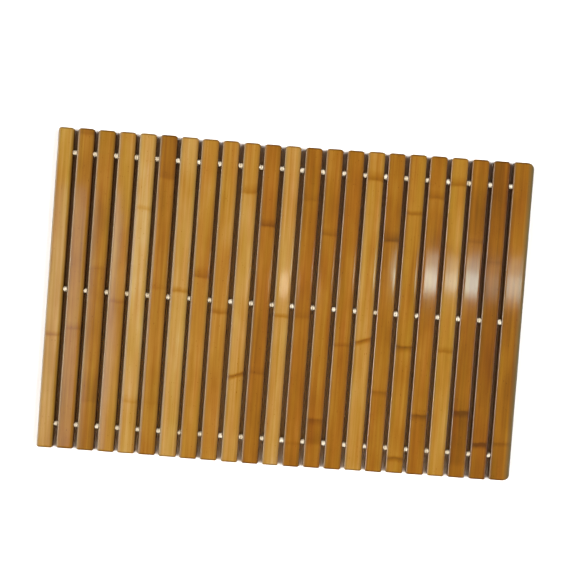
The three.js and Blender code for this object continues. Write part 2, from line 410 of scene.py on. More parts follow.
    # What the lacquered bamboo needs to know at each point: how far it is from the slat's sides, ends
    # and joints, and the slat's own looks.
    final = add(tree, POSITION)
    off_centre = add(tree, VECTOR_MATH, (final, given["Centre"]), operation="SUBTRACT")
    off_x, off_y, _ = add(tree, SPLIT_XYZ, (off_centre,)).outputs
    side_reach = add(tree, MATH, (off_x,), operation="ABSOLUTE")
    from_side = add(tree, MATH, (half_x, side_reach), operation="SUBTRACT")
    end_reach = add(tree, MATH, (off_y,), operation="ABSOLUTE")
    from_end = add(tree, MATH, (half_y, end_reach), operation="SUBTRACT")
    final_y = add(tree, SPLIT_XYZ, (final,)).outputs["Y"]
    three_y = add(tree, JOIN_XYZ, (final_y, final_y, final_y))
    off_share = add(tree, MATH, (off_x, given["Width"]), operation="DIVIDE")
    tilted = add(tree, VECTOR_MATH, {0: given["Joint Tilts"], "Scale": off_share}, operation="SCALE")
    level = add(tree, VECTOR_MATH, (three_y, given["Joint Places"]), operation="SUBTRACT")
    from_joints = add(tree, VECTOR_MATH, (level, tilted), operation="SUBTRACT")
    for label, kind, value in (
        ("from_side", "FLOAT", from_side),
        ("from_end", "FLOAT", from_end),
        ("from_joints", "FLOAT_VECTOR", from_joints),
        ("tone", "FLOAT", given["Tone"]),
        ("warmth", "FLOAT", given["Warmth"]),
        ("gloss", "FLOAT", given["Gloss"]),
        ("edge_gloss", "FLOAT", given["Edge Gloss"]),
        ("joint_darks", "FLOAT_VECTOR", given["Joint Darks"]),
        ("joint_reaches", "FLOAT_VECTOR", given["Joint Reaches"]),
        ("joint_steps", "FLOAT_VECTOR", given["Joint Steps"]),
    ):
        marked = add(tree, STORE, {"Geometry": marked, "Name": label, "Value": value}, data_type=kind)
    finish_tree(tree, marked, material)
    return tree


def make_slats(names, material):
    """One piece for each slat, in the CAD slat's own box."""
    tree = slat_tree(material)
    cords = [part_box(name) for name in CORD_NAMES]
    for index, (name, looks) in enumerate(zip(names, SLAT_LOOKS)):
        low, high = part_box(name)
        size = high - low
        is_last = index == len(names) - 1
        bore_start = cords[0][0].x - BORE_END_CLEARANCE if index == 0 else low.x - MM
        bore_end = cords[0][1].x + BORE_END_CLEARANCE if is_last else high.x + MM
        bore_x = (bore_start + bore_end) / 2
        crossings = [Vector((bore_x, (a.y + b.y) / 2, (a.z + b.z) / 2)) for a, b in cords]
        joints = (looks.joints + (NO_JOINT,) * MOST_JOINTS)[:MOST_JOINTS]
        piece = grow(name.replace("slat", "bamboo_slat"), crossings, tree, {
            "Centre": (low + high) / 2,
            "Width": size.x,
            "Length": size.y,
            "Thickness": size.z,
            "Left Corner": PLAN_CORNER,
            "Right Corner": BROAD_PLAN_CORNER if is_last else PLAN_CORNER,
            "Back Growth": 0.0 if is_last else BACK_CORNER_GROWTH,
            "Edge Width": EDGE_WIDTH,
            "Edge Height": EDGE_HEIGHT,
            "Crown": CROWN,
            "Left Roll": LEFT_ROLL * (1 - looks.edge_gloss),
            "Left Roll Start": LEFT_ROLL_START,
            "Top Lean": math.radians(looks.lean),
            "Unevenness": UNEVENNESS,
            "Bore Radius": BORE_RADIUS,
            "Bore Length": bore_end - bore_start,
            "Tone": looks.tone,
            "Warmth": looks.warmth,
            "Gloss": looks.gloss,
            "Edge Gloss": looks.edge_gloss,
            "Joint Places": Vector([low.y + joint.place * MM for joint in joints]),
            "Joint Tilts": Vector([joint.tilt * MM for joint in joints]),
            "Joint Darks": Vector([joint.dark for joint in joints]),
            "Joint Reaches": Vector([joint.reach for joint in joints]),
            "Joint Steps": Vector([joint.step for joint in joints]),
        })
        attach(piece, "root")
        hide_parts(name)


# Cords

def cord_tree(material):
    """A twisted cord with a knot at each point. Each knot is the cord wound round itself, and the
    slats at its two sides squeeze it to the shape of the gap between them."""
    tree, given = new_tree("knotted cotton cord", {
        "Start": "Vector",
        "End": "Vector",
        "Cord Radius": "Float",
        "Knot Radius": "Float",
        "Knot Clearance": "Float",
        "Knot Slack": "Float",
        "Knot Squeeze": "Float",
        "Wraps": "Float",
        "Ply Pitch": "Float",
        "Slat Thickness": "Float",
        "Edge Width": "Float",
        "Edge Height": "Float",
        "Seed": "Int",
    })
    # The knot's path climbs off the axis, winds round it at one side of the gap, crosses over, winds
    # round it at the other side and comes back. The climb is over where the share of the path behind,
    # times the share ahead, reaches climb_end.
    knot_steps = 52
    climb_end = 0.0625
    crossing_start = 0.3
    crossing_end = 0.7
    spline = add(tree, "GeometryNodeSplineParameter").outputs
    path_line = add(tree, LINE, {"Start": (-1, 0, 0), "End": (1, 0, 0)})
    path_steps = add(tree, RESAMPLE, {"Curve": path_line, "Count": knot_steps})
    factor = spline["Factor"]
    wraps_done = add(tree, MATH, (factor, given["Wraps"]), operation="MULTIPLY")
    turn = add(tree, MATH, (wraps_done, math.tau), operation="MULTIPLY")
    left_over = add(tree, MATH, (1.0, factor), operation="SUBTRACT")
    off_end = add(tree, MATH, (factor, left_over), operation="MULTIPLY")
    climb = add(tree, MAP_RANGE, {
        "Value": off_end, "From Min": 0.0, "From Max": climb_end,
    }, interpolation_type="SMOOTHSTEP")
    most_off = add(tree, MATH, (given["Knot Radius"], given["Cord Radius"]), operation="SUBTRACT")
    off_axis = add(tree, MATH, (climb, most_off), operation="MULTIPLY")
    side_share = add(tree, MAP_RANGE, {
        "Value": factor, "From Min": crossing_start, "From Max": crossing_end, "To Min": -1.0,
    }, interpolation_type="SMOOTHSTEP")
    knot_x = add(tree, MATH, (side_share, given["Cord Radius"]), operation="MULTIPLY")
    cosine = add(tree, MATH, (turn,), operation="COSINE")
    sine = add(tree, MATH, (turn,), operation="SINE")
    knot_y = add(tree, MATH, (off_axis, cosine), operation="MULTIPLY")
    knot_z = add(tree, MATH, (off_axis, sine), operation="MULTIPLY")
    knot_place = add(tree, JOIN_XYZ, (knot_x, knot_y, knot_z))
    knot_path = add(tree, SET_POSITION, {"Geometry": path_steps, "Position": knot_place})

    # The straight path, from end to end of the cord.
    steps_per_pitch = 6.0
    whole_line = add(tree, LINE, {"Start": given["Start"], "End": given["End"]})
    step = add(tree, MATH, (given["Ply Pitch"], steps_per_pitch), operation="DIVIDE")
    straight_path = add(tree, RESAMPLE, {"Curve": whole_line, "Length": step}, mode="LENGTH")

    # The cord's section is a circle swollen by its plies, and it turns along the cord.
    section_points = 15
    circle = add(tree, "GeometryNodeCurvePrimitiveCircle", {"Resolution": section_points, "Radius": 1.0})
    round_place = add(tree, POSITION)
    round_x, round_y, _ = add(tree, SPLIT_XYZ, (round_place,)).outputs
    angle = add(tree, MATH, (round_y, round_x), operation="ARCTAN2")
    ply_angle = add(tree, MATH, (angle, PLIES), operation="MULTIPLY")
    ply_wave = add(tree, MATH, (ply_angle,), operation="COSINE")
    swell = add(tree, MATH, (ply_wave, PLY_SWELL, 1.0 - PLY_SWELL), operation="MULTIPLY_ADD")
    swollen = add(tree, VECTOR_MATH, {0: round_place, "Scale": swell}, operation="SCALE")
    section = add(tree, SET_POSITION, {"Geometry": circle, "Position": swollen})
    pitches = add(tree, MATH, (spline["Length"], given["Ply Pitch"]), operation="DIVIDE")
    twist = add(tree, MATH, (pitches, math.tau), operation="MULTIPLY")
    ropes = []
    for path in (straight_path, knot_path):
        twisted = add(tree, "GeometryNodeSetCurveTilt", {"Curve": path, "Tilt": twist})
        ropes.append(add(tree, "GeometryNodeCurveToMesh", {
            "Curve": twisted, "Profile Curve": section, "Scale": given["Cord Radius"], "Fill Caps": True,
        }))
    straight, loose_knot = ropes

    # Each knot is turned and drawn tight in its own way, and is more or less clean.
    least_depth, most_depth = KNOT_DEPTH_SHARES
    least_height, most_height = KNOT_HEIGHT_SHARES
    own_way = add(tree, RANDOM, {
        "Min": (0.0, least_depth, least_height),
        "Max": (1.0, most_depth, most_height),
        "Seed": given["Seed"],
    }, data_type="FLOAT_VECTOR").outputs["Value"]
    cleanness, tightness_y, tightness_z = add(tree, SPLIT_XYZ, (own_way,)).outputs
    past_all_seeds = 50.0
    other_seed = add(tree, MATH, (given["Seed"], past_all_seeds), operation="ADD")
    own_turn = add(tree, RANDOM, {
        "Min": (0.0, 0.0, 0.0), "Max": (math.tau, 1.0, 0.0), "Seed": other_seed,
    }, data_type="FLOAT_VECTOR").outputs["Value"]
    turned, slack_share, _ = add(tree, SPLIT_XYZ, (own_turn,)).outputs
    slack = add(tree, MATH, (slack_share, given["Knot Slack"]), operation="MULTIPLY")
    roll = add(tree, JOIN_XYZ, (turned, 0.0, 0.0))
    centre_x = add(tree, SPLIT_XYZ, (add(tree, POSITION),)).outputs["X"]
    trodden = add(tree, MAP_RANGE, {
        "Value": centre_x,
        "From Min": GRUBBY_TO,
        "From Max": GRUBBY_FROM,
        "To Min": GRUBBIEST,
        "To Max": 0.0,
    })
    whiteness = add(tree, MATH, (cleanness, trodden), operation="SUBTRACT")
    points = given["Geometry"]
    for label, value in (("whiteness", whiteness), ("slack", slack), ("centre_x", centre_x)):
        points = add(tree, STORE, {"Geometry": points, "Name": label, "Value": value}, data_type="FLOAT")
    tightness = add(tree, JOIN_XYZ, (1.0, tightness_y, tightness_z))
    knots = add(tree, "GeometryNodeInstanceOnPoints", {
        "Points": points, "Instance": loose_knot, "Rotation": roll, "Scale": tightness,
    })
    real_knots = add(tree, "GeometryNodeRealizeInstances", (knots,))

    # The slats squeeze the knot: it is as wide as the gap between their walls, and wider above and
    # below the walls, where the slats' edges are eased.
    known = {}
    for label in ("gap", "slack", "centre_x"):
        attribute = add(tree, "GeometryNodeInputNamedAttribute", {"Name": label}, data_type="FLOAT")
        known[label] = attribute.outputs["Attribute"]
    real_x, real_y, real_z = add(tree, SPLIT_XYZ, (add(tree, POSITION),)).outputs
    half_gap = add(tree, MATH, (known["gap"], 0.5), operation="MULTIPLY")
    room = add(tree, MATH, (given["Knot Clearance"], known["slack"]), operation="ADD")
    between = add(tree, MATH, (half_gap, room), operation="SUBTRACT")
    off_centre = add(tree, MATH, (real_x, known["centre_x"]), operation="SUBTRACT")
    loose_half = add(tree, MATH, (given["Cord Radius"], 2.0), operation="MULTIPLY")
    side_reach = add(tree, MATH, (off_centre, loose_half), operation="DIVIDE")
    pressed = add(tree, MATH, (side_reach, given["Knot Squeeze"]), operation="MULTIPLY")
    wide = add(tree, MATH, (pressed, between), operation="MULTIPLY")
    axis_z = add(tree, SPLIT_XYZ, (given["Start"],)).outputs["Z"]
    off_axis_z = add(tree, MATH, (real_z, axis_z), operation="SUBTRACT")
    height = add(tree, MATH, (off_axis_z,), operation="ABSOLUTE")
    half_slat = add(tree, MATH, (given["Slat Thickness"], 0.5), operation="MULTIPLY")
    wall_end = add(tree, MATH, (half_slat, given["Edge Height"]), operation="SUBTRACT")
    above_wall = add(tree, MATH, (height, wall_end), operation="SUBTRACT")
    upward = add(tree, MATH, (above_wall, given["Edge Height"]), operation="DIVIDE", use_clamp=True)
    upward_squared = add(tree, MATH, (upward, upward), operation="MULTIPLY")
    inward_squared = add(tree, MATH, (1.0, upward_squared), operation="SUBTRACT")
    inward = add(tree, MATH, (inward_squared,), operation="SQRT")
    opening = add(tree, MATH, (1.0, inward), operation="SUBTRACT")
    limit = add(tree, MATH, (opening, given["Edge Width"], between), operation="MULTIPLY_ADD")
    least = add(tree, MATH, (limit, -1.0), operation="MULTIPLY")
    not_left = add(tree, MATH, (wide, least), operation="MAXIMUM")
    squeezed = add(tree, MATH, (not_left, limit), operation="MINIMUM")
    squeezed_x = add(tree, MATH, (squeezed, known["centre_x"]), operation="ADD")
    squeezed_place = add(tree, JOIN_XYZ, (squeezed_x, real_y, real_z))
    tight_knots = add(tree, SET_POSITION, {"Geometry": real_knots, "Position": squeezed_place})

    both = add(tree, "GeometryNodeJoinGeometry")
    tree.links.new(straight.outputs[0], both.inputs[0])
    tree.links.new(tight_knots.outputs[0], both.inputs[0])
    smooth = add(tree, "GeometryNodeSetShadeSmooth", {"Geometry": both, "Shade Smooth": True})
    finish_tree(tree, smooth, material)
    return tree


def make_cords(slat_names, material):
    """One piece for each cord, with a knot in the middle of every gap."""
    tree = cord_tree(material)
    slats = [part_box(name) for name in slat_names]
    gaps = [(left[1].x, right[0].x) for left, right in zip(slats, slats[1:])]
    for seed, name in enumerate(CORD_NAMES):
        low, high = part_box(name)
        centre = (low + high) / 2
        knots = [Vector(((a + b) / 2, centre.y, centre.z)) for a, b in gaps]
        piece = grow(name.replace("cord", "cotton_cord"), knots, tree, {
            "Start": Vector((low.x, centre.y, centre.z)),
            "End": Vector((high.x, centre.y, centre.z)),
            "Cord Radius": CORD_RADIUS,
            "Knot Radius": KNOT_RADIUS,
            "Knot Clearance": KNOT_CLEARANCE,
            "Knot Slack": KNOT_SLACK,
            "Knot Squeeze": KNOT_SQUEEZE,
            "Wraps": KNOT_WRAPS,
            "Ply Pitch": PLY_PITCH,
            "Slat Thickness": slats[0][1].z - slats[0][0].z,
            "Edge Width": EDGE_WIDTH,
            "Edge Height": EDGE_HEIGHT,
            "Seed": seed,
        }, {"gap": [b - a for a, b in gaps]})
        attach(piece, "root")
        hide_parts(name)


# Materials

def new_material(name):
    """A material with only its shader, the shader's tree and the shader."""
    material = bpy.data.materials.new(name)
    material.use_nodes = True
    return material, material.node_tree, material.node_tree.nodes["Principled BSDF"]


def lacquered_bamboo():
    """Bamboo split into flat slats and given a clear gloss lacquer: long fibre streaks from straw to
    caramel, a soft brown line with a shade beside it at each joint, dull eased edges, painted shade on
    the sides, walls, edges and ends, a painted grey-brown sheen on the left edges whose lacquer does not
    shine, a dull olive towards the mat's outer right edge, and pores on the cut ends."""
    material, tree, shader = new_material("clear-lacquered bamboo")
    coordinates = add(tree, COORDINATES).outputs
    place_mm = add(tree, VECTOR_MATH, {0: coordinates["Object"], "Scale": 1000.0}, operation="SCALE")

    # Patterns, each with the size of its marks across and along the slat in mm. Fibres are 0.2 to 0.4
    # mm wide in the real bamboo, too fine to show, so the fine pattern draws them 1.5 mm wide.
    patterns = {}
    for name, across_mm, along_mm, detail in (
        ("broad", 4.0, 170.0, 2.0),
        ("fine", 1.5, 80.0, 3.0),
        ("cloud", 26.0, 60.0, 2.0),
        ("bend", 14.0, 40.0, 1.0),
        ("drift", 9.0, 90.0, 1.0),
        ("waves", 30.0, 60.0, 1.0),
        ("flecks", 1.3, 3.0, 0.0),
    ):
        grain = add(tree, VECTOR_MATH, (place_mm, (across_mm, along_mm, across_mm)), operation="DIVIDE")
        patterns[name] = add(tree, NOISE, {"Vector": grain, "Scale": 1.0, "Detail": detail})
    looks = {}
    for name in (
        "from_side", "from_end", "from_joints", "tone", "warmth", "gloss", "edge_gloss",
        "joint_darks", "joint_reaches", "joint_steps",
    ):
        looks[name] = add(tree, "ShaderNodeAttribute", attribute_name=name).outputs
    facing = add(tree, VECTOR_MATH, (coordinates["Normal"],), operation="ABSOLUTE")
    facing_x, facing_y, facing_z = add(tree, SPLIT_XYZ, (facing,)).outputs

    tone = looks["tone"]["Fac"]
    for name, strength in (("broad", 0.50), ("fine", 0.18), ("cloud", 0.42)):
        swing = add(tree, MATH, (patterns[name], 0.5), operation="SUBTRACT")
        tone = add(tree, MATH, (swing, strength, tone), operation="MULTIPLY_ADD")

    # Joints: mm behind each of the slat's joints, made to wander across the slat.
    wander = (JOINT_WANDER_MM, -JOINT_WANDER_MM / 2)
    bend = add(tree, MATH, (patterns["bend"], *wander), operation="MULTIPLY_ADD")
    bends = add(tree, JOIN_XYZ, (bend, bend, bend))
    behind = looks["from_joints"]["Vector"]
    behind_mm = add(tree, VECTOR_MATH, (behind, (1000.0,) * 3, bends), operation="MULTIPLY_ADD")
    distance_mm = add(tree, VECTOR_MATH, (behind_mm,), operation="ABSOLUTE")
    off_line = add(tree, VECTOR_MATH, (distance_mm, (JOINT_LINE_MM,) * 3), operation="DIVIDE")
    on_line = add(tree, VECTOR_MATH, ((1, 1, 1), off_line), operation="SUBTRACT")
    line = add(tree, VECTOR_MATH, (on_line, (0, 0, 0)), operation="MAXIMUM")
    darks = looks["joint_darks"]["Vector"]
    line_share = add(tree, VECTOR_MATH, (line, darks), operation="DOT_PRODUCT").outputs["Value"]
    line_dark = add(tree, MATH, (line_share, JOINT_LINE_DARK), operation="MULTIPLY")
    reaches = looks["joint_reaches"]["Vector"]
    share = add(tree, VECTOR_MATH, (behind_mm, reaches), operation="DIVIDE")
    reach_mm = add(tree, VECTOR_MATH, (reaches,), operation="ABSOLUTE")
    rise_per_mm = (JOINT_SHADE_PER_MM,) * 3
    steepness = add(tree, VECTOR_MATH, (reach_mm, rise_per_mm), operation="MULTIPLY")
    rising = add(tree, VECTOR_MATH, (share, steepness, (1, 1, 1)), operation="MULTIPLY_ADD")
    fading = add(tree, VECTOR_MATH, ((1, 1, 1), share), operation="SUBTRACT")
    lower = add(tree, VECTOR_MATH, (fading, rising), operation="MINIMUM")
    shade = add(tree, VECTOR_MATH, (lower, (0, 0, 0)), operation="MAXIMUM")
    shade_share = add(tree, VECTOR_MATH, (shade, darks), operation="DOT_PRODUCT").outputs["Value"]
    broad_share = 0.5
    fine_share = 0.7
    broad_part = add(tree, MATH, (patterns["broad"], broad_share), operation="MULTIPLY")
    uneven = add(tree, MATH, (patterns["fine"], fine_share, broad_part), operation="MULTIPLY_ADD")
    joint_dark = add(tree, MATH, (shade_share, uneven, line_dark), operation="MULTIPLY_ADD")
    tone = add(tree, MATH, (tone, joint_dark), operation="SUBTRACT")
    step_per_mm = (JOINT_STEP_PER_MM,) * 3
    far_step = add(tree, VECTOR_MATH, (behind_mm, step_per_mm, (0.5,) * 3), operation="MULTIPLY_ADD")
    not_under = add(tree, VECTOR_MATH, (far_step, (0, 0, 0)), operation="MAXIMUM")
    stepped = add(tree, VECTOR_MATH, (not_under, (1, 1, 1)), operation="MINIMUM")
    steps = looks["joint_steps"]["Vector"]
    all_steps = add(tree, VECTOR_MATH, (stepped, steps), operation="DOT_PRODUCT").outputs["Value"]
    tone = add(tree, MATH, (tone, all_steps), operation="ADD")

    # A few short dark flecks, where their pattern is almost at its highest.
    fleck_start = 0.77
    fleck_full = 0.84
    darkest_fleck = 0.3
    fleck_dark = add(tree, MAP_RANGE, {
        "Value": patterns["flecks"],
        "From Min": fleck_start,
        "From Max": fleck_full,
        "To Max": darkest_fleck,
    })
    tone = add(tree, MATH, (tone, fleck_dark), operation="SUBTRACT")

    # Painted shade: the sides and eased edges are darker the more they turn from facing up, and the ends
    # show the pores of the fibres.
    painted_side_shade = -0.18
    pore_size_mm = (0.8, 4.0, 0.8)
    pore_wall = 0.15
    pore_edge = 0.4
    darkest_pore = 0.35
    is_end = add(tree, MAP_RANGE, {"Value": facing_y, "From Min": 0.5, "From Max": 0.9})
    upright = add(tree, MATH, (1.0, facing_z), operation="SUBTRACT")
    not_end = add(tree, MATH, (1.0, is_end), operation="SUBTRACT")
    side_share = add(tree, MATH, (upright, not_end), operation="MULTIPLY")
    tone = add(tree, MATH, (side_share, painted_side_shade, tone), operation="MULTIPLY_ADD")
    pore_grain = add(tree, VECTOR_MATH, (place_mm, pore_size_mm), operation="DIVIDE")
    pores = add(tree, "ShaderNodeTexVoronoi", {"Vector": pore_grain, "Scale": 1.0}).outputs["Distance"]
    pore_dark = add(tree, MAP_RANGE, {
        "Value": pores, "From Min": pore_wall, "From Max": pore_edge, "To Min": darkest_pore, "To Max": 0.0,
    })
    end_dark = add(tree, MATH, (pore_dark, is_end), operation="MULTIPLY")
    tone = add(tree, MATH, (tone, end_dark), operation="SUBTRACT")

    ramp = add(tree, "ShaderNodeValToRGB", {"Fac": tone})
    stops = ramp.color_ramp.elements
    while len(stops) < len(BAMBOO_RAMP):
        stops.new(0.5)
    for stop, (position, hex_colour) in zip(stops, BAMBOO_RAMP):
        stop.position = position
        stop.color = linear(hex_colour)
    warmth_drift = 3.0
    hue_per_warmth = -0.009
    same_hue = 0.5
    drifting = add(tree, MATH, (patterns["drift"], 0.5), operation="SUBTRACT")
    warmth = add(tree, MATH, (drifting, warmth_drift, looks["warmth"]["Fac"]), operation="MULTIPLY_ADD")
    hue = add(tree, MATH, (warmth, hue_per_warmth, same_hue), operation="MULTIPLY_ADD")
    colour = add(tree, "ShaderNodeHueSaturation", {"Color": ramp, "Hue": hue}).outputs["Color"]

    # Towards its sides and ends the slat's face is darkened with painted shade, patchy along the slat: a
    # grey shade near the sides and a dark olive one at the ends.
    edge_shade_swing = 0.8
    least_edge_shade = 0.6
    patchy = add(tree, MATH, (patterns["broad"], edge_shade_swing, least_edge_shade), operation="MULTIPLY_ADD")
    faces_up = add(tree, MATH, (facing_z, 2.0), operation="MULTIPLY", use_clamp=True)
    patchy_top = add(tree, MATH, (patchy, faces_up), operation="MULTIPLY")
    for name, reach, sharpness, share, painted_shade_colour in (
        ("from_side", 5.0 * MM, 1.5, patchy, "#c4c6cc"),
        ("from_end", 2.8 * MM, 1.0, patchy_top, "#70745f"),
    ):
        nearness = add(tree, MAP_RANGE, {
            "Value": looks[name]["Fac"], "From Min": 0.0, "From Max": reach, "To Min": 1.0, "To Max": 0.0,
        })
        soft = add(tree, MATH, (nearness, sharpness), operation="POWER")
        edge_shade = add(tree, MATH, (soft, share), operation="MULTIPLY", use_clamp=True)
        colour = add(tree, MIX, {
            "Factor": edge_shade, "A": colour, "B": linear(painted_shade_colour),
        }, data_type="RGBA", blend_type="MULTIPLY").outputs["Result"]

    # Left edges whose lacquer does not shine get a painted grey-brown sheen, which stands in for a dull
    # reflection of the light at the left, and towards the mat's outer right edge the colour goes to a dull
    # olive. The walls between the slats get painted shade, greyer and darker than the tops.
    sideways = add(tree, SPLIT_XYZ, (coordinates["Normal"],)).outputs["X"]
    left_sheen_mask = add(tree, MAP_RANGE, {
        "Value": sideways, "From Min": -0.30, "From Max": -0.04, "To Min": LEFT_EDGE_SHEEN_SHARE, "To Max": 0.0,
    })
    left_edge_dullness = add(tree, MATH, (1.0, looks["edge_gloss"]["Fac"]), operation="SUBTRACT")
    painted_left_sheen = add(tree, MATH, (left_sheen_mask, left_edge_dullness), operation="MULTIPLY")
    place_x = add(tree, SPLIT_XYZ, (place_mm,)).outputs["X"]
    right_edge_olive = add(tree, MAP_RANGE, {
        "Value": place_x,
        "From Min": RIGHT_EDGE_OLIVE_FROM_MM,
        "From Max": RIGHT_EDGE_OLIVE_TO_MM,
        "To Max": RIGHT_EDGE_OLIVE_SHARE,
    })
    for edge_mix, edge_colour in ((painted_left_sheen, "#8a7857"), (right_edge_olive, "#5f5e40")):
        colour = add(tree, MIX, {
            "Factor": edge_mix, "A": colour, "B": linear(edge_colour),
        }, data_type="RGBA").outputs["Result"]
    # Painted shade on the walls between the slats.
    wall_shade_mask = add(tree, MAP_RANGE, {"Value": facing_x, "From Min": 0.6, "From Max": 0.95})
    colour = add(tree, MIX, {
        "Factor": wall_shade_mask, "A": colour, "B": linear("#b8b2aa"),
    }, data_type="RGBA", blend_type="MULTIPLY").outputs["Result"]
    tree.links.new(colour, shader.inputs["Base Color"])

    # Fibres and joints stand out a little under the lacquer, whose own skin is smoother and waves.
    relief_share = 0.6
    skin_waves = 8.0
    fibre_relief = add(tree, MATH, (patterns["fine"], relief_share), operation="MULTIPLY")
    joint_relief = add(tree, MATH, (line_dark, relief_share), operation="MULTIPLY")
    relief = add(tree, MATH, (fibre_relief, joint_relief), operation="SUBTRACT")
    fibre_bump = add(tree, "ShaderNodeBump", {"Height": relief, "Distance": 0.05 * MM, "Strength": 0.5})
    tree.links.new(fibre_bump.outputs[0], shader.inputs["Normal"])
    skin = add(tree, MATH, (patterns["waves"], skin_waves, relief), operation="MULTIPLY_ADD")
    skin_bump = add(tree, "ShaderNodeBump", {"Height": skin, "Distance": 0.02 * MM, "Strength": 1.0})
    tree.links.new(skin_bump.outputs[0], shader.inputs["Coat Normal"])

    # The lacquer is whole on the top, and is left on the left edge of some slats only.
    is_eased = add(tree, MAP_RANGE, {
        "Value": facing_z, "From Min": 0.93, "From Max": 0.995, "To Min": 1.0, "To Max": 0.0,
    })
    is_left = add(tree, MAP_RANGE, {
        "Value": sideways, "From Min": -0.35, "From Max": -0.15, "To Min": 1.0, "To Max": 0.0,
    })
    left_gloss = add(tree, MATH, (looks["edge_gloss"]["Fac"], is_left), operation="MULTIPLY")
    lacquer = add(tree, MIX, {
        "Factor": is_eased, "A": looks["gloss"]["Fac"], "B": left_gloss,
    }, data_type="FLOAT")
    tree.links.new(lacquer.outputs[0], shader.inputs["Coat Weight"])
    shader.inputs["Roughness"].default_value = 0.55
    shader.inputs["Specular IOR Level"].default_value = 0.15
    shader.inputs["Coat Roughness"].default_value = 0.08
    shader.inputs["Coat IOR"].default_value = 1.5
    return material


def undyed_cotton():
    """Undyed cotton cord, twisted: soft and matt, cream, and grubbier on some knots than others."""
    material, tree, shader = new_material("undyed cotton cord")
    place = add(tree, COORDINATES).outputs["Object"]
    fibres_per_mm = 2.4
    knot_weight = 0.8
    fibre_weight = 0.5
    place_mm = add(tree, VECTOR_MATH, {0: place, "Scale": 1000.0}, operation="SCALE")
    fibres = add(tree, NOISE, {"Vector": place_mm, "Scale": fibres_per_mm, "Detail": 4.0})
    whiteness = add(tree, "ShaderNodeAttribute", attribute_name="whiteness").outputs["Fac"]
    knot_share = add(tree, MATH, (whiteness, knot_weight), operation="MULTIPLY")
    white_share = add(tree, MATH, (fibres, fibre_weight, knot_share), operation="MULTIPLY_ADD",
                      use_clamp=True)
    colour = add(tree, MIX, {
        "Factor": white_share, "A": linear("#dccaa4"), "B": linear("#fff7df"),
    }, data_type="RGBA")
    tree.links.new(colour.outputs["Result"], shader.inputs["Base Color"])
    bump = add(tree, "ShaderNodeBump", {"Height": fibres, "Distance": 0.12 * MM, "Strength": 0.6})
    tree.links.new(bump.outputs[0], shader.inputs["Normal"])
    shader.inputs["Roughness"].default_value = 0.9
    shader.inputs["Sheen Weight"].default_value = 0.3
    return material


def white_floor():
    """A matt white painted floor, with the least trace of unevenness."""
    material, tree, shader = new_material("matt white paint")
    place = add(tree, COORDINATES).outputs["Object"]
    mottles_per_metre = 3.0
    mottle = add(tree, NOISE, {"Vector": place, "Scale": mottles_per_metre, "Detail": 2.0})
    colour = add(tree, MIX, {
        "Factor": mottle, "A": linear("#f4f3f1"), "B": linear("#f7f6f4"),
    }, data_type="RGBA")
    tree.links.new(colour.outputs["Result"], shader.inputs["Base Color"])
    shader.inputs["Roughness"].default_value = 0.85
    return material


# Studio

# How far the floor reaches from the mat's middle.
FLOOR_REACH = 6.0

# Each low light: its name, its side, how far it stands towards the front, its strength, and whether
# it lights only the floor, so that the mat's shadow on it stays pale.
LOW_LIGHTS = (
    ("left light", -1, math.radians(4), 4.2, False),
    ("right light", 1, math.radians(8), 2.65, False),
    ("left floor light", -1, math.radians(-15), 2.2, True),
    ("right floor light", 1, math.radians(-15), 4.4, True),
)
LOW_LIGHT_SPREAD = math.radians(36)
LOW_LIGHT_FROM_VERTICAL = math.radians(62)

# Each lamp that shows only as a reflection in the lacquer: its name, colour, place and size in metres,
# and its brightness against white.
REFLECTED_LAMPS = (
    ("right window", "#dcf6f0", (0.590, 0.050, 1.5), (0.42, 0.060), 13.0),
    ("right curtain", "#dcf6f0", (0.590, 0.066, 1.5), (0.44, 0.130), 4.6),
    ("left window", "#bcdcff", (-0.800, -0.115, 1.5), (0.40, 0.60), 2.3),
    ("left curtain", "#bcdcff", (-0.810, -0.190, 1.5), (0.40, 0.89), 1.9),
    ("left strip", "#fff0e0", (-1.58, -0.035, 1.5), (0.60, 2.60), 5.5),
    ("middle lamp", "#fff2da", (0.004, 0.000, 1.5), (0.105, 0.070), 7.0),
)

# Faint lights for the floor alone, which shows through the gaps: a spot straight above the mat's front
# half, and low strips just outside the slats' front and back ends, each with its name, its side and its
# brightness against white.
SPOT_COLOUR = "#ffae38"
SPOT_PLACE = (0.0, -0.13, 1.5)
SPOT_WATTS = 3.8
SPOT_CONE = math.radians(27)
SPOT_RADIUS = 0.05
END_STRIP_COLOUR = "#fff2e6"
END_STRIP_SIZE = (0.56, 0.02)
END_STRIP_PLACE_Y = 0.262
END_STRIP_TARGET_Y = 0.190
END_STRIP_HEIGHT = 0.03
END_STRIPS = (("front end strip", -1, 3.6), ("back end strip", 1, 0.8))

# How bright the surroundings are at the horizon to the left and right, and overhead, where they
# only glow brown as wood does, and between what heights they change.
HORIZON_STRENGTH = 0.8
HORIZON_COLOUR = "#fbf5ea"
HORIZON_TOP = 0.15
CEILING_STRENGTH = 0.08
CEILING_COLOUR = "#ffa235"
CEILING_EDGE = 0.5
BACKDROP_COLOUR = "#ffffff"


def make_floor():
    """A square of plain floor under the mat."""
    corners = [(x * FLOOR_REACH, y * FLOOR_REACH, 0) for x, y in ((-1, -1), (1, -1), (1, 1), (-1, 1))]
    mesh = bpy.data.meshes.new("floor")
    mesh.from_pydata(corners, [], [(0, 1, 2, 3)])
    mesh.materials.append(white_floor())
    floor = bpy.data.objects.new("floor", mesh)
    bpy.context.scene.collection.objects.link(floor)
    return floor


def aim(light, place, target):
    """Puts a light at a place, looking at a target."""
    light.location = place
    light.rotation_mode = "QUATERNION"
    light.rotation_quaternion = (Vector(target) - Vector(place)).to_track_quat("-Z", "Y")
    bpy.context.scene.collection.objects.link(light)


def panel(name, colour, size, strength):
    """An evenly lit rectangle that gives light, of a brightness against white."""
    light = bpy.data.lights.new(name, "AREA")
    light.shape = "RECTANGLE"
    light.color = linear(colour)[:3]
    light.size, light.size_y = size
    light.energy = strength * size[0] * size[1] * math.pi
    return bpy.data.objects.new(name, light)


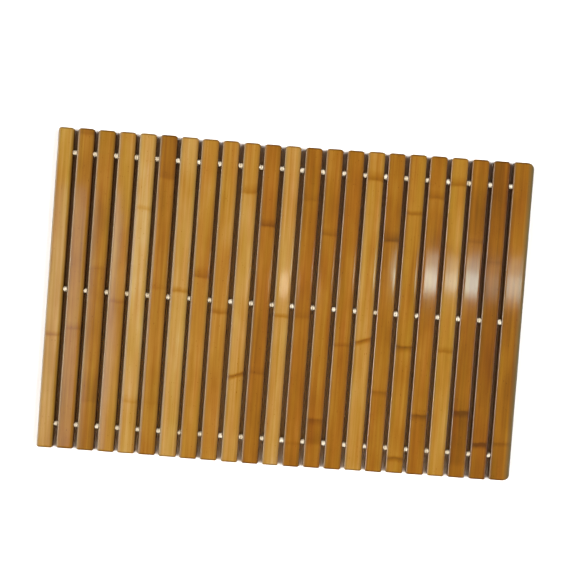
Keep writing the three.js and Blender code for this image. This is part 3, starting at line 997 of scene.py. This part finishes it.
def make_lights(floor):
    """Soft lights so low at the left and right that little of them reaches down between the slats,
    faint ones for the floor in the gaps, lamps that show only as reflections in the lacquer, and a pale
    horizon under a dark ceiling."""
    floor_only = bpy.data.collections.new("floor only")
    floor_only.objects.link(floor)
    for name, side, to_front, strength, is_for_floor in LOW_LIGHTS:
        low_light = bpy.data.lights.new(name, "SUN")
        low_light.energy = strength
        low_light.angle = LOW_LIGHT_SPREAD
        across = math.sin(LOW_LIGHT_FROM_VERTICAL)
        direction = (
            side * across * math.cos(to_front),
            -across * math.sin(to_front),
            math.cos(LOW_LIGHT_FROM_VERTICAL),
        )
        source = bpy.data.objects.new(name, low_light)
        aim(source, direction, (0, 0, 0))
        if is_for_floor:
            source.light_linking.receiver_collection = floor_only

    spot = bpy.data.lights.new("middle floor light", "SPOT")
    spot.color = linear(SPOT_COLOUR)[:3]
    spot.energy = SPOT_WATTS
    spot.spot_size = SPOT_CONE
    spot.spot_blend = 1.0
    spot.shadow_soft_size = SPOT_RADIUS
    source = bpy.data.objects.new("middle floor light", spot)
    aim(source, SPOT_PLACE, (SPOT_PLACE[0], SPOT_PLACE[1], 0))
    source.light_linking.receiver_collection = floor_only
    for name, side, strength in END_STRIPS:
        source = panel(name, END_STRIP_COLOUR, END_STRIP_SIZE, strength)
        source.visible_camera = False
        source.visible_glossy = False
        aim(source, (0, side * END_STRIP_PLACE_Y, END_STRIP_HEIGHT), (0, side * END_STRIP_TARGET_Y, 0))
        source.light_linking.receiver_collection = floor_only

    for name, colour, place, size, strength in REFLECTED_LAMPS:
        reflection = panel(name, colour, size, strength)
        reflection.visible_diffuse = False
        aim(reflection, place, (place[0], place[1], 0))

    world = bpy.data.worlds.new("studio")
    world.use_nodes = True
    tree = world.node_tree
    direction = add(tree, COORDINATES).outputs["Generated"]
    sideways, _, up = add(tree, SPLIT_XYZ, (direction,)).outputs
    ceiling_share = add(tree, MAP_RANGE, {"Value": up, "From Min": HORIZON_TOP, "From Max": CEILING_EDGE})
    side_share = add(tree, MATH, (sideways, sideways), operation="MULTIPLY")
    side_strength = add(tree, MATH, (side_share, HORIZON_STRENGTH), operation="MULTIPLY")
    glow = add(tree, MIX, {
        "Factor": ceiling_share, "A": linear(HORIZON_COLOUR), "B": linear(CEILING_COLOUR),
    }, data_type="RGBA")
    strength = add(tree, MIX, {
        "Factor": ceiling_share, "A": side_strength, "B": CEILING_STRENGTH,
    }, data_type="FLOAT")
    # Where it shows behind the floor it is as pale as the floor.
    is_seen = add(tree, "ShaderNodeLightPath").outputs["Is Camera Ray"]
    shown_glow = add(tree, MIX, {
        "Factor": is_seen, "A": glow.outputs["Result"], "B": linear(BACKDROP_COLOUR),
    }, data_type="RGBA")
    shown_strength = add(tree, MIX, {"Factor": is_seen, "A": strength, "B": 1.0}, data_type="FLOAT")
    background = tree.nodes["Background"]
    tree.links.new(shown_glow.outputs["Result"], background.inputs["Color"])
    tree.links.new(shown_strength.outputs[0], background.inputs["Strength"])
    bpy.context.scene.world = world


def make_camera():
    """Almost straight above, turned so that the mat lies as in the photograph."""
    data = bpy.data.cameras.new("camera")
    data.sensor_width = SENSOR_WIDTH_MM
    frame_width = IMAGE_SIDE_PX * MM_PER_PX * MM
    data.lens = SENSOR_WIDTH_MM * (CAMERA_PLACE.z - cad_box[1].z) / frame_width
    camera = bpy.data.objects.new("camera", data)
    camera.location = CAMERA_PLACE
    camera.rotation_euler = CAMERA_TURNS
    bpy.context.scene.collection.objects.link(camera)
    bpy.context.scene.camera = camera


bpy.context.scene.view_settings.view_transform = "Standard"
slat_names = sorted(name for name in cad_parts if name.startswith("slat_"))
make_slats(slat_names, lacquered_bamboo())
make_cords(slat_names, undyed_cotton())
make_lights(make_floor())
make_camera()
